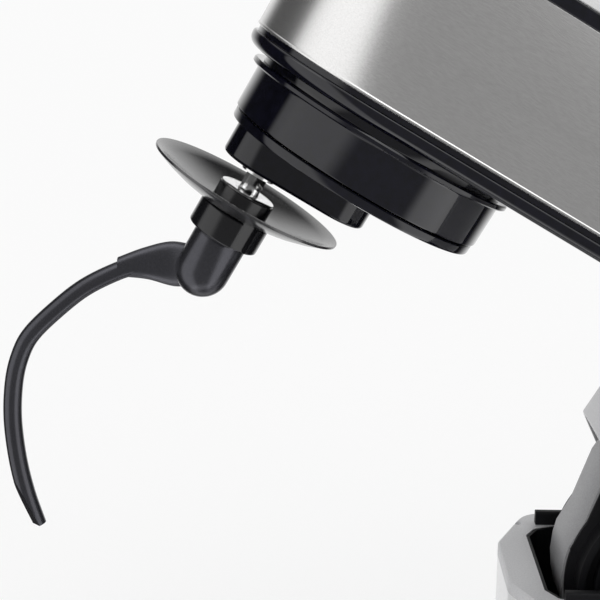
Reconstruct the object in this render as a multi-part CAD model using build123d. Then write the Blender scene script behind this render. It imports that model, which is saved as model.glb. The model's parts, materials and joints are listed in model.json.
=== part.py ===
from build123d import *
import math
import os

# Tilt-head stand mixer with its head raised and a dough hook fitted, in millimetres.
# X runs from the nose to the back, +Z is up, and Z = 0 is the surface it stands on. The stand is drawn about the
# bowl's axis (X = 0). Head parts are drawn with the head level, from the point where the planet axis meets the
# lower edge of the hub housing, and are then raised about the hinge pin. At the end the whole mixer is moved
# along X so that the origin is the middle of its box, on the table.

# tilt hinge
TILT = 30.5
PIVOT_X = 206.0
PIVOT_Z = 178.0
HEAD_DATUM = 256.0
PIVOT_V = PIVOT_Z - HEAD_DATUM
PIN_R = 4.0
RUN = 0.05

# head shells
HEAD_HALF = 60.0
NOSE_X = -4.6
HEAD_BACK = 242.0
HEAD_CORNER = 34.0
TRAY_BOTTOM = 23.5
TRAY_TOP = 31.5
TRAY_SHOULDER = 29.4
STEEL_TOP = 91.5
TRIM_TOP = 97.0
COVER_TOP = 121.0
WALL = 2.5
SHEET = 1.0

# hub, planet and tool
HUB_R = 56.0
LIP_R = 59.0
LIP_BOTTOM = 18.0
CARRIER_R = 55.2
CARRIER_BOTTOM = -4.6
BOSS_BOTTOM = -19.0
BOSS_R = 17.5
BOSS_BACK = -3.9
TOOL_X = -34.0
STUB_R = 4.5
STUB_END = -45.0
DISC_R = 42.4
DISC_RIM = -29.4
UPPER_COLLAR_R = 12.3
LOWER_COLLAR_R = 15.5
COLLAR_TOP = -30.0
LOWER_COLLAR_BOTTOM = -51.0
HOOK_BOSS_R = 11.5
HOOK_BOSS_END = -79.0
HOOK_BAR_R = 3.95
HOOK_PATH = [(-58.0, 7.5, -81.5), (-70.5, 5.5, -93.5), (-79.2, 3.5, -113.0), (-84.2, 1.2, -135.0),
             (-78.0, 0.0, -158.0), (-66.5, 0.0, -177.0), (-40.3, 0.0, -205.2)]
HOOK_RADII = [28.0, 40.0, 34.0, 45.0, 60.0]
HOOK_CUT_AT = (-54.5, 0.0, -196.5)
HOOK_CUT_FACES = (-0.45, -0.6, -0.66)
WING_SECTIONS = [(-36.0, 5.0, -67.5, 8.0, 5.0), (-45.5, 7.5, -73.5, 9.8, 4.6), (-56.0, 7.6, -79.5, 6.9, 4.2),
                 (-65.0, 6.3, -86.3, 4.2, 4.0)]

# gears and belt
RING_MODULE = 2.0
RING_TEETH = 48
PLANET_TEETH = 14
MAIN_MODULE = 1.5
MAIN_TEETH = 60
DRIVE_TEETH = 12
PRESSURE_ANGLE = math.radians(20)
ADDENDUM = 0.7
DEDENDUM = 1.0
BACKLASH = 0.25
DRIVE_X = 54.0
MOTOR_X = 188.0
BIG_PULLEY_R = 40.5
SMALL_PULLEY_R = 9.0
BELT_T = 1.6
SHAFT_R = 6.0
DRIVE_SHAFT_R = 4.0
MOTOR_SHAFT_R = 3.0

# head frame, gear cover and tilt arm
FRAME_BOTTOM = 26.0
FRAME_TOP = 32.0
GEAR_COVER_BOTTOM = 45.0
GEAR_COVER_TOP = 48.5
POSTS = [(-54.0, 0.0), (100.0, 50.0), (100.0, -50.0), (226.0, 44.0), (226.0, -44.0)]
ARM_HALF = 15.0
ARM_SECTOR_R = 49.0
ARM_DECK_BOTTOM = -14.0
ARM_DECK_TOP = -8.0
ARM_DECK_HALF = 42.0
ARM_SCREWS = [(160.0, 37.0), (205.0, 37.0), (230.0, 37.0)]
ARM_DECK_FRONT = 153.5
ARM_DECK_BACK = 236.0
NECK_HALF = 50.0
NECK_FRONT = 150.0
NECK_BACK = 240.0
NECK_WALL = 2.2
NECK_ROUND = 8.0

# stator and rotor
STATOR_R = 32.0
ROTOR_R = 18.0
STATOR_BOTTOM = 10.0
STATOR_TOP = 36.0

# stand
BASE_R = 105.0
BASE_BACK_HALF = 76.0
BASE_TOP = 40.0
FOOT_H = 6.0
SEAT_R = 52.0
SEAT_FLANGE_R = 59.0
SEAT_FLOOR = 24.0
COLUMN_FRONT = 134.0
COLUMN_BACK = 262.0
COLUMN_HALF = 52.4
COLUMN_TOP = 173.7
RING_TOP = 179.2
COLUMN_WALL = 3.0
TAB_TOP = 185.6
TAB_FRONT = 154.0
TAB_BACK = 236.0
TAB_INNER = 38.5
TAB_OUTER = 42.3
EAR_COVER_FRONT = 184.0
EAR_COVER_TOP = 187.0
EAR_COVER_INNER = 28.0
LATCH_X = 232.0
LATCH_Z = 121.5
KNOB_X = 216.0
KNOB_Z = 72.0
KNOB_R = 21.0


def low(shape_kind, *sizes):
    """A primitive that stands on Z = 0 about the origin."""
    return shape_kind(*sizes, align=(Align.CENTER, Align.CENTER, Align.MIN))


def rod(x, y, radius, bottom, top):
    """An upright cylinder."""
    return Pos(x, y, bottom) * low(Cylinder, radius, top - bottom)


def tube(x, y, outer, inner, bottom, top):
    """An upright tube."""
    return rod(x, y, outer, bottom, top) - rod(x, y, inner, bottom - 1, top + 1)


def cross_rod(x, z, radius, y0, y1):
    """A cylinder that lies along Y."""
    return Pos(x, y0, z) * Rot(-90, 0, 0) * low(Cylinder, radius, y1 - y0)


def block(x0, x1, y0, y1, z0, z1):
    """A box between two corners."""
    return Pos(x0, y0, z0) * Box(x1 - x0, y1 - y0, z1 - z0, align=(Align.MIN, Align.MIN, Align.MIN))


def side_plate(points, y0, y1):
    """A plate whose outline is drawn in X and Z, from y0 to y1."""
    outline = make_face(Polyline(*[(x, y0, z) for x, z in points], close=True))
    return extrude(outline, y1 - y0, (0, 1, 0))


def prism(face, bottom, top):
    """A plan outline raised between two heights."""
    return Pos(0, 0, bottom) * extrude(face, top - bottom, (0, 0, 1))


def one(shape):
    """The single solid of a result."""
    found = shape.solids()
    assert len(found) == 1, len(found)
    return found[0]


def mirrored(shape):
    """A part and its twin on the other side of the middle plane."""
    return Compound([*shape.solids(), *shape.mirror(Plane.XZ).solids()])


def group(shapes):
    """Separate solids of one kind kept in one node."""
    return Compound([solid for shape in shapes for solid in shape.solids()])


def raised(shape):
    """A head part moved from its own level frame to the raised head."""
    turn = Pos(PIVOT_X, 0, PIVOT_Z) * Rot(0, TILT, 0) * Pos(-PIVOT_X, 0, HEAD_DATUM - PIVOT_Z)
    return turn * shape


# ---------------------------------------------------------------- outlines

def head_plan(inset):
    """The head seen from above: a half round nose and a back with rounded corners."""
    half = HEAD_HALF - inset
    body = Pos(NOSE_X, 0) * Rectangle(HEAD_BACK - inset - NOSE_X, 2 * half, align=(Align.MIN, Align.CENTER))
    back = body.vertices().filter_by(lambda v: v.X > NOSE_X + 1)
    body = fillet(back, HEAD_CORNER - inset)
    return body + Pos(NOSE_X, 0) * Circle(half)


def column_plan(inset):
    """The column seen from above: a narrow front with long chamfers and square sides."""
    front = COLUMN_FRONT + inset
    shoulder = 150.4 + 0.6 * inset
    side = COLUMN_HALF - inset
    nose = 19.6 - 0.4 * inset
    right = [(front, nose), (shoulder, side), (COLUMN_BACK - inset, side)]
    left = [(x, -y) for x, y in reversed(right)]
    face = make_face(Polyline(*right, *left, close=True))
    return fillet(face.vertices(), [13.0, 10.0][inset > 1])


def opening_plan(inset):
    """The opening in the column's top, wider behind its chamfered front."""
    right = [(148.0 + inset, 27.0 - 0.6 * inset), (152.5 + 0.8 * inset, 34.0 - 0.8 * inset)]
    right += [(162.4, 38.5 - inset), (245.5 - inset, 38.5 - inset)]
    left = [(x, -y) for x, y in reversed(right)]
    return make_face(Polyline(*right, *left, close=True))


def base_plan(inset):
    """The foot seen from above: round under the bowl, drawn in to the column's width behind."""
    front = Circle(BASE_R - inset)
    back = Pos(COLUMN_BACK - 60, 0) * RectangleRounded(120 - 2 * inset, 2 * (BASE_BACK_HALF - inset), 22 - inset)
    return make_hull(front.edges() + back.edges())


def stadium(x0, x1, radius):
    """A slot outline between two centres on the X axis."""
    middle = Pos((x0 + x1) / 2, 0) * Rectangle(x1 - x0, 2 * radius)
    return Pos(x0, 0) * Circle(radius) + middle + Pos(x1, 0) * Circle(radius)


def involute(angle):
    return math.tan(angle) - angle


def gear_outline(module, teeth, tip, root, thinned, turn):
    """A spur gear's outline of involute teeth; turn is the angle of its first tooth in degrees."""
    pitch_r = module * teeth / 2
    base_r = pitch_r * math.cos(PRESSURE_ANGLE)
    half_pitch = math.pi / (2 * teeth) - thinned / (2 * pitch_r)
    radii = [root, max(base_r, root + 0.2), (pitch_r + tip) / 2, tip]
    flank = []
    for radius in radii:
        roll = math.acos(min(1.0, base_r / radius))
        half = half_pitch + involute(PRESSURE_ANGLE) - involute(roll)
        flank.append((radius, half))
    points = []
    for tooth in range(teeth):
        middle = math.radians(turn) + 2 * math.pi * tooth / teeth
        for radius, half in flank:
            points.append((radius * math.cos(middle - half), radius * math.sin(middle - half)))
        for radius, half in reversed(flank):
            points.append((radius * math.cos(middle + half), radius * math.sin(middle + half)))
    return Polygon(*points, align=None)


def spur_gear(module, teeth, turn, bottom, top):
    """An outside gear, about the origin."""
    pitch_r = module * teeth / 2
    tip = pitch_r + ADDENDUM * module
    root = pitch_r - DEDENDUM * module
    return prism(gear_outline(module, teeth, tip, root, BACKLASH / 2, turn), bottom, top)


# ---------------------------------------------------------------- the stand

def base_shell():
    outer = prism(base_plan(0), FOOT_H, BASE_TOP)
    outer = fillet(outer.faces().sort_by(Axis.Z)[-1].edges(), 9)
    inner = prism(base_plan(WALL), FOOT_H - 1, BASE_TOP - 3)
    seat_hole = rod(0, 0, SEAT_R + 3, 0, BASE_TOP + 1)
    column_hole = prism(column_plan(COLUMN_WALL + 4), 0, BASE_TOP + 1)
    shell = outer - inner - seat_hole - column_hole
    for x, y in seat_screw_spots():
        shell -= rod(x, y, 1.75, 30, BASE_TOP + 1)
    for x, y in base_bosses():
        shell += rod(x, y, 5, 9, BASE_TOP - 3) - rod(x, y, 1.75, 8, BASE_TOP - 6)
    return one(shell)


def base_bosses():
    """Where the bottom cover is screwed to the base."""
    spots = [(-78.0, 45.0), (-78.0, -45.0), (70.0, 82.0), (70.0, -82.0), (246.0, 58.0), (246.0, -58.0)]
    return spots


def foot_spots():
    """Where the rubber feet stand."""
    return [(-62.0, 62.0), (-62.0, -62.0), (88.0, 74.0), (88.0, -74.0), (224.0, 58.0), (224.0, -58.0)]


def bottom_cover():
    plate = prism(base_plan(WALL + 0.3), FOOT_H, FOOT_H + 3)
    for x, y in base_bosses():
        plate -= rod(x, y, 1.75, 0, 20)
        plate -= rod(x, y, 3.6, FOOT_H - 1, FOOT_H + 1)
    for x, y in foot_spots():
        plate -= rod(x, y, 4, 0, 20)
    for row in range(5):
        plate -= block(150 + 9 * row, 154 + 9 * row, -22, 22, 0, 20)
    return one(plate)


def stand_screws():
    """The bottom cover's screws, the bowl seat's and the hinge frame's."""
    screws = [rod(x, y, 3.4, FOOT_H - 0.6, FOOT_H + 1) + rod(x, y, 1.75, FOOT_H, 24) for x, y in base_bosses()]
    for x, y in seat_screw_spots():
        screws.append(rod(x, y, 2.0, BASE_TOP + 1.6, BASE_TOP + 2.6) + rod(x, y, 1.75, 36.9, BASE_TOP + 1.7))
    for x in (190.0, 242.0):
        for side in (-1, 1):
            screws.append(rod(x, 44 * side, 3.6, 105, 108) + rod(x, 44 * side, 2, 86, 105.1))
    return group(screws)


def rubber_feet():
    feet = []
    for x, y in foot_spots():
        pad = fillet(rod(x, y, 11, 0, FOOT_H).edges(), 1.2)
        feet.append(pad + rod(x, y, 4, FOOT_H - 0.1, FOOT_H + 3) + rod(x, y, 5.2, FOOT_H + 3, FOOT_H + 4.5))
    return group(feet)


def bowl_seat():
    seat = tube(0, 0, SEAT_R + 2.5, SEAT_R, SEAT_FLOOR, BASE_TOP + 1.6)
    seat += rod(0, 0, SEAT_R + 2.5, SEAT_FLOOR - 2.5, SEAT_FLOOR)
    seat += tube(0, 0, SEAT_FLANGE_R, SEAT_R + 2.4, BASE_TOP, BASE_TOP + 1.6)
    ledge = tube(0, 0, SEAT_R + 0.5, SEAT_R - 5, 34, 37)
    for lug in range(3):
        wedge = block(0, SEAT_R + 1, -9, 9, 33, 38).rotate(Axis.Z, 120 * lug + 60)
        seat += ledge & wedge
    for x, y in seat_screw_spots():
        seat -= rod(x, y, 1.75, 30, 50)
    return one(seat)


def seat_screw_spots():
    """Three screws through the bowl seat's flange."""
    spots = []
    for turn in (0, 120, 240):
        angle = math.radians(turn)
        spots.append((56.9 * math.cos(angle), 56.9 * math.sin(angle)))
    return spots


def column_shell():
    outer = prism(column_plan(0), BASE_TOP, COLUMN_TOP)
    inner = prism(column_plan(COLUMN_WALL), BASE_TOP - 1, COLUMN_TOP - COLUMN_WALL)
    shell = outer - inner - prism(opening_plan(-0.4), COLUMN_TOP - 10, COLUMN_TOP + 1)
    for x in (190.0, 242.0):
        for side in (-1, 1):
            post = rod(x, 44 * side, 5.5, BASE_TOP, 100)
            shell += post - rod(x, 44 * side, 2, 84, 101)
    shell -= cross_rod(KNOB_X, KNOB_Z, 5, -COLUMN_HALF - 1, -40)
    shell -= cross_rod(LATCH_X, LATCH_Z, 6, 40, COLUMN_HALF + 1)
    shell -= Pos(COLUMN_BACK - 6, -20, 56) * Rot(0, 90, 0) * low(Cylinder, 8, 8)
    for row in range(6):
        shell -= block(COLUMN_BACK - 5, COLUMN_BACK + 1, -28, 28, 92 + 8 * row, 95 + 8 * row)
    return one(shell)


def top_ring():
    ring = prism(column_plan(0), COLUMN_TOP, RING_TOP)
    ring = chamfer(ring.faces().sort_by(Axis.Z)[-1].edges(), 0.8)
    ring -= prism(opening_plan(0), COLUMN_TOP - 1, RING_TOP + 1)
    for side in (-1, 1):
        ring -= rod(146, 40.2 * side, 1.7, COLUMN_TOP + 1, RING_TOP + 1)
    return one(ring)


def column_liner():
    """The lining of the column's opening, with a cover over each hinge ear and a guide rail outside it."""
    liner = prism(opening_plan(0.2), 132, RING_TOP - 0.3)
    for side in (-1, 1):
        y0, y1 = sorted((EAR_COVER_INNER * side, 37.0 * side))
        cover = block(EAR_COVER_FRONT, TAB_BACK, y0, y1, 132, EAR_COVER_TOP)
        cover = fillet(cover.edges().filter_by(Axis.X).sort_by(Axis.Z)[-2:], 2)
        liner += cover & prism(opening_plan(0.2), 132, EAR_COVER_TOP)
        y0, y1 = sorted((TAB_INNER * side, TAB_OUTER * side))
        rail = block(TAB_FRONT, TAB_BACK, y0, y1, RING_TOP, TAB_TOP)
        rail = fillet(rail.edges().filter_by(Axis.X).sort_by(Axis.Z)[-2:], 1)
        y0, y1 = sorted((37.4 * side, (TAB_INNER + 1) * side))
        liner += rail + block(165, TAB_BACK, y0, y1, RING_TOP, RING_TOP + 2)
        y0, y1 = sorted((37.4 * side, 38.3 * side))
        liner += block(165, TAB_BACK, y0, y1, RING_TOP - 2, RING_TOP + 2)
    well = prism(opening_plan(1.5), 131, EAR_COVER_TOP + 1)
    reach = TAB_INNER - 1
    liner -= well & block(140, EAR_COVER_FRONT, -reach, reach, 131, EAR_COVER_TOP + 1)
    liner -= well & block(148, 246, -EAR_COVER_INNER, EAR_COVER_INNER, 131, EAR_COVER_TOP + 1)
    for side in (-1, 1):
        y0, y1 = sorted((29.6 * side, 35.6 * side))
        liner -= block(EAR_COVER_FRONT + 1.5, TAB_BACK - 1.5, y0, y1, 131, EAR_COVER_TOP - 1.5)
    liner -= cross_rod(PIVOT_X, PIVOT_Z, PIN_R + 0.4, -35, 35)
    return one(liner)


def hinge_frame():
    ear_points = [(188, 100), (246, 100), (246, 128), (234, 131), (216, 166), (214, 182), (210, 185), (202, 185), (198, 182)]
    ear_points += [(190, 150)]
    frame = block(184, 248, -34.6, 34.6, 100, 105)
    for x in (190.0, 242.0):
        frame += block(x - 5.5, x + 5.5, -48, 48, 100, 105)
    frame += side_plate(ear_points, 30.6, 34.6) + side_plate(ear_points, -34.6, -30.6)
    frame -= cross_rod(PIVOT_X, PIVOT_Z, PIN_R, -40, 40)
    frame -= cross_rod(LATCH_X, LATCH_Z, 4 + RUN, -40, 40)
    for x in (190.0, 242.0):
        for side in (-1, 1):
            frame -= rod(x, 44 * side, 2, 90, 120)
    frame -= block(200, 232, -20, 20, 99, 106)
    return one(frame)


def hinge_pin():
    pin = cross_rod(PIVOT_X, PIVOT_Z, PIN_R, -35, 35)
    for side in (-1, 1):
        y0, y1 = sorted((26.4 * side, 27.4 * side))
        pin -= cross_rod(PIVOT_X, PIVOT_Z, PIN_R + 1, y0, y1) - cross_rod(PIVOT_X, PIVOT_Z, PIN_R - 0.7, y0, y1)
    return one(pin)


def hinge_clips():
    clips = []
    for side in (-1, 1):
        y0, y1 = sorted((26.45 * side, 27.35 * side))
        clip = cross_rod(PIVOT_X, PIVOT_Z, 7, y0, y1) - cross_rod(PIVOT_X, PIVOT_Z, PIN_R - 0.7, y0, y1)
        clips.append(clip - block(PIVOT_X - 2.2, PIVOT_X + 2.2, y0 - 1, y1 + 1, PIVOT_Z - 10, PIVOT_Z))
    return group(clips)


def latch_shaft():
    return one(cross_rod(LATCH_X, LATCH_Z, 4, -37, 60))


def latch_pawl():
    """The arm under the sector whose nose drops into its notches."""
    top = PIVOT_Z - ARM_SECTOR_R - 0.5
    points = [(LATCH_X, LATCH_Z + 6), (212, 126), (207.5, top), (202.5, top), (202, 124), (205, 119)]
    points += [(LATCH_X, LATCH_Z - 6)]
    pawl = side_plate(points, -5, 5) + cross_rod(LATCH_X, LATCH_Z, 7.5, -8, 8)
    return one(pawl - cross_rod(LATCH_X, LATCH_Z, 4, -9, 9))


def pawl_spring():
    """Torsion spring beside the pawl, its close turns drawn as rings."""
    coils = [cross_rod(LATCH_X, LATCH_Z, 6.2, 9 + 1.5 * turn, 10.1 + 1.5 * turn) for turn in range(7)]
    spring = cross_rod(LATCH_X, LATCH_Z, 5.6, 9, 19.1)
    for coil in coils:
        spring += coil
    spring += block(LATCH_X - 14, LATCH_X, 9, 10.4, LATCH_Z - 6, LATCH_Z - 4.6)
    return one(spring - cross_rod(LATCH_X, LATCH_Z, 4.4, 8, 20))


def release_lever():
    lever = cross_rod(LATCH_X, LATCH_Z, 11, 54, 64) - cross_rod(LATCH_X, LATCH_Z, 4, 50, 60)
    blade = side_plate([(LATCH_X - 4, 128), (LATCH_X - 5, 162), (LATCH_X + 5, 162), (LATCH_X + 4, 128)], 56, 63)
    lever += blade
    return one(lever + cross_rod(LATCH_X, 162, 7, 55, 64))


def lever_bush():
    bush = cross_rod(LATCH_X, LATCH_Z, 13, COLUMN_HALF, COLUMN_HALF + 1.2)
    bush += cross_rod(LATCH_X, LATCH_Z, 6, 44, COLUMN_HALF)
    return one(bush - cross_rod(LATCH_X, LATCH_Z, 4 + RUN, 40, 60))


def knob_bezel():
    front = -COLUMN_HALF
    bezel = cross_rod(KNOB_X, KNOB_Z, KNOB_R + 4, front - 2.4, front)
    bezel = chamfer(bezel.faces().sort_by(Axis.Y)[0].edges(), 1)
    return one(bezel - cross_rod(KNOB_X, KNOB_Z, 5, front - 5, front + 1))


def rotary_switch():
    body = block(KNOB_X - 14, KNOB_X + 14, -49.3, -37, KNOB_Z - 14, KNOB_Z + 14)
    body += cross_rod(KNOB_X, KNOB_Z, 4.95, -COLUMN_HALF - 2.3, -49)
    return one(body - cross_rod(KNOB_X, KNOB_Z, 3 + RUN, -60, -41))


def speed_knob():
    face = -COLUMN_HALF - 19
    knob = cross_rod(KNOB_X, KNOB_Z, KNOB_R, face, -COLUMN_HALF - 3)
    knob = fillet(knob.faces().sort_by(Axis.Y)[0].edges(), 2.5)
    knob -= block(KNOB_X - KNOB_R, KNOB_X - 4.5, face - 1, face + 9, KNOB_Z - 30, KNOB_Z + 30) & knob_scoop()
    knob -= block(KNOB_X + 4.5, KNOB_X + KNOB_R, face - 1, face + 9, KNOB_Z - 30, KNOB_Z + 30) & knob_scoop()
    return one(knob + cross_rod(KNOB_X, KNOB_Z, 3, -COLUMN_HALF - 3.1, -42))


def knob_scoop():
    """The round recess either side of the knob's grip bar."""
    face = -COLUMN_HALF - 19
    return cross_rod(KNOB_X, KNOB_Z, KNOB_R - 3, face - 1, face + 8)


def control_board():
    board = block(249.5, 251.1, -36, 36, 70, 98)
    board += block(239, 249.6, 2, 26, 72, 94) + cross_rod(245, 84, 5, -30, -6)
    for side in (-1, 1):
        for z in (74, 94):
            board += Pos(251, 31 * side, z) * Rot(0, 90, 0) * low(Cylinder, 2.5, COLUMN_BACK - COLUMN_WALL - 251)
    return one(board)


def cord_inlet():
    place = Pos(COLUMN_BACK, -20, 56) * Rot(0, 90, 0)
    inlet = place * (low(Cylinder, 11.5, 3) + Pos(0, 0, -7) * low(Cylinder, 8, 7.1))
    return one(inlet - place * Pos(0, 0, -10) * low(Cylinder, 3.6, 20))


# ---------------------------------------------------------------- the head's shells

def lower_tray():
    tray = prism(head_plan(0), TRAY_BOTTOM, TRAY_TOP)
    tray = fillet(tray.faces().sort_by(Axis.Z)[0].edges(), 4)
    tray -= prism(head_plan(WALL), FRAME_BOTTOM, TRAY_TOP + 1)
    tray -= prism(head_plan(-1), TRAY_SHOULDER, TRAY_TOP + 1) - prism(head_plan(1.4), TRAY_SHOULDER, TRAY_TOP + 1)
    tray -= rod(0, 0, 12, TRAY_BOTTOM - 1, FRAME_BOTTOM + 1)
    for x, y in hub_screw_spots():
        tray -= rod(x, y, 2, TRAY_BOTTOM - 1, FRAME_BOTTOM + 1)
    tray -= block(NECK_FRONT + 3, NECK_BACK - 4, -46, 46, TRAY_BOTTOM - 1, FRAME_BOTTOM + 1)
    return one(tray)


def steel_shell():
    return one(prism(head_plan(0.3), TRAY_TOP, STEEL_TOP) - prism(head_plan(0.3 + SHEET), TRAY_TOP, STEEL_TOP))


def top_trim():
    trim = prism(head_plan(0), STEEL_TOP, TRIM_TOP) - prism(head_plan(4.5), STEEL_TOP - 1, TRIM_TOP + 1)
    for x, y in POSTS:
        lug = rod(x, y, 6.5, STEEL_TOP, STEEL_TOP + 3) & prism(head_plan(1), STEEL_TOP, TRIM_TOP)
        lug += trim_lug_bridge(x, y) & prism(head_plan(1), STEEL_TOP, TRIM_TOP)
        trim += lug - rod(x, y, 2, STEEL_TOP - 1, TRIM_TOP + 1)
    return one(trim)


def trim_lug_bridge(x, y):
    """The web from a screw lug out to the trim's rim."""
    if y == 0:
        return block(x - 10, x, -5, 5, STEEL_TOP, STEEL_TOP + 3)
    y0, y1 = sorted((y, y + math.copysign(12, y)))
    return block(x - 5, x + 5, y0, y1, STEEL_TOP, STEEL_TOP + 3)


def top_cover():
    dome = prism(head_plan(1.0), TRIM_TOP, COVER_TOP)
    dome = fillet(dome.faces().sort_by(Axis.Z)[-1].edges(), 17)
    hollow = prism(head_plan(3.5), TRIM_TOP - 1, COVER_TOP - WALL)
    hollow = fillet(hollow.faces().sort_by(Axis.Z)[-1].edges(), 15)
    return one(dome - hollow)


def neck_cover():
    outer = round_front(side_plate(neck_side(0), -NECK_HALF, NECK_HALF), NECK_ROUND)
    half = NECK_HALF - NECK_WALL
    inner = round_front(side_plate(neck_side(NECK_WALL), -half, half), NECK_ROUND - NECK_WALL)
    well = block(NECK_FRONT + NECK_WALL, NECK_BACK - NECK_WALL, -half, half, -90, 0)
    cover = outer - inner - round_front(well, NECK_ROUND - NECK_WALL)
    for row in range(5):
        cover -= block(NECK_BACK - 4, NECK_BACK + 1, -30, 30, -30 + 9 * row, -26.5 + 9 * row)
    return one(cover)


def round_front(solid, radius):
    """Rounds a solid's two upright front edges."""
    return fillet(solid.edges().filter_by(Axis.Z).sort_by(Axis.X)[:2], radius)


def neck_side(inset):
    """The neck cover's side outline, its lower edge sloping back to the hinge and up again behind it."""
    top = TRAY_BOTTOM if inset == 0 else TRAY_BOTTOM + 1
    front = NECK_FRONT + inset
    back = NECK_BACK - inset
    slope = 1.15 * inset
    points = [(front, top), (front, -46.0 + slope), (190, -73.5 + slope), (206, -73 + slope)]
    return points + [(back, -50 + slope), (back, top)]


def hub_housing():
    hub = tube(0, 0, HUB_R, HUB_R - 3, 0, LIP_BOTTOM) + rod(0, 0, LIP_R, LIP_BOTTOM, LIP_BOTTOM + 2.4)
    hub += rod(0, 0, 55, LIP_BOTTOM + 2, TRAY_BOTTOM) + rod(0, 0, 16, 12, LIP_BOTTOM + 1)
    hub -= rod(0, 0, 11, 11, 19) + rod(0, 0, 8, 11, TRAY_BOTTOM + 1)
    for x, y in hub_screw_spots():
        hub -= rod(x, y, 2, LIP_BOTTOM - 1, TRAY_BOTTOM + 1)
    return one(hub)


def hub_screw_spots():
    """Four screws that hold the hub to the head frame."""
    return [(28.3, 28.3), (-28.3, 28.3), (-28.3, -28.3), (28.3, -28.3)]


def ring_gear():
    pitch_r = RING_MODULE * RING_TEETH / 2
    gap = gear_outline(RING_MODULE, RING_TEETH, pitch_r + DEDENDUM * RING_MODULE, pitch_r - ADDENDUM * RING_MODULE,
                       -BACKLASH / 2, 0)
    return one(rod(0, 0, HUB_R - 3, 4, 12) - prism(gap, 3, 13))


# ---------------------------------------------------------------- frame and drive inside the head

def head_frame():
    plan = head_plan(4.0)
    frame = prism(plan, FRAME_BOTTOM, FRAME_TOP)
    frame -= rod(MOTOR_X, 0, STATOR_R + 2, FRAME_BOTTOM - 1, FRAME_TOP + 1)
    for x, y in POSTS:
        frame += rod(x, y, 4.5, FRAME_TOP - 1, STEEL_TOP) - rod(x, y, 2, STEEL_TOP - 14, STEEL_TOP + 1)
    frame += frame_bearing_boss(0, 11) + frame_bearing_boss(DRIVE_X, 8)
    frame -= rod(0, 0, 8.5, FRAME_BOTTOM - 1, FRAME_TOP + 6) + rod(0, 0, 11, FRAME_BOTTOM - 1, FRAME_TOP - 1)
    frame -= rod(DRIVE_X, 0, 5, FRAME_BOTTOM - 1, FRAME_TOP + 6) + rod(DRIVE_X, 0, 8, FRAME_BOTTOM - 1, FRAME_TOP - 1)
    for x, y in hub_screw_spots():
        frame -= rod(x, y, 2, FRAME_BOTTOM - 1, FRAME_TOP - 0.9)
    for x, y in ARM_SCREWS:
        for side in (-1, 1):
            frame -= rod(x, y * side, 2, FRAME_BOTTOM - 1, FRAME_TOP + 1)
    for x, y in gear_cover_posts():
        frame += rod(x, y, 4, FRAME_TOP - 1, GEAR_COVER_BOTTOM) - rod(x, y, 1.75, FRAME_TOP + 2, GEAR_COVER_BOTTOM + 1)
    return one(frame)


def frame_bearing_boss(x, radius):
    """The collar over a shaft's hole in the frame."""
    return rod(x, 0, radius + 2, FRAME_TOP - 1, FRAME_TOP + 1.5)


def gear_cover_posts():
    """Posts that carry the gear cover, clear of the gears."""
    return [(-24.0, 48.0), (-24.0, -48.0), (38.0, 46.0), (38.0, -46.0), (76.0, 0.0)]


def gear_cover():
    plan = head_plan(9.0) & Pos(-60, 0) * Rectangle(144, 200, align=(Align.MIN, Align.CENTER))
    cover = prism(plan, GEAR_COVER_BOTTOM, GEAR_COVER_TOP)
    cover -= rod(0, 0, 8, GEAR_COVER_BOTTOM - 1, GEAR_COVER_TOP + 1)
    cover -= rod(DRIVE_X, 0, 6.5, GEAR_COVER_BOTTOM - 1, GEAR_COVER_TOP + 1)
    cover -= rod(-54, 0, 5.2, GEAR_COVER_BOTTOM - 1, GEAR_COVER_TOP + 1)
    for x, y in gear_cover_posts():
        cover -= rod(x, y, 1.75, GEAR_COVER_BOTTOM - 1, GEAR_COVER_TOP + 1)
        cover -= rod(x, y, 3.4, GEAR_COVER_TOP - 1.5, GEAR_COVER_TOP + 1)
    return one(cover)


def bearing(x, outer, shaft_r, bottom, top):
    """A plain bearing sleeve that its shaft runs in."""
    return tube(x, 0, outer, shaft_r + RUN, bottom, top)


def main_bearings():
    return group([bearing(0, 11, SHAFT_R, 12, 19), bearing(0, 11, SHAFT_R, 26, 31),
                  bearing(0, 8, SHAFT_R, GEAR_COVER_BOTTOM, GEAR_COVER_TOP)])


def drive_bearings():
    """The bearings of the drive pinion's shaft and of the motor's."""
    return group([bearing(DRIVE_X, 8, DRIVE_SHAFT_R, 26, 31),
                  bearing(DRIVE_X, 6.5, DRIVE_SHAFT_R, GEAR_COVER_BOTTOM, GEAR_COVER_TOP),
                  bearing(MOTOR_X, 7, MOTOR_SHAFT_R, -6, -2), bearing(MOTOR_X, 7, MOTOR_SHAFT_R, 45, 49)])


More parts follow.
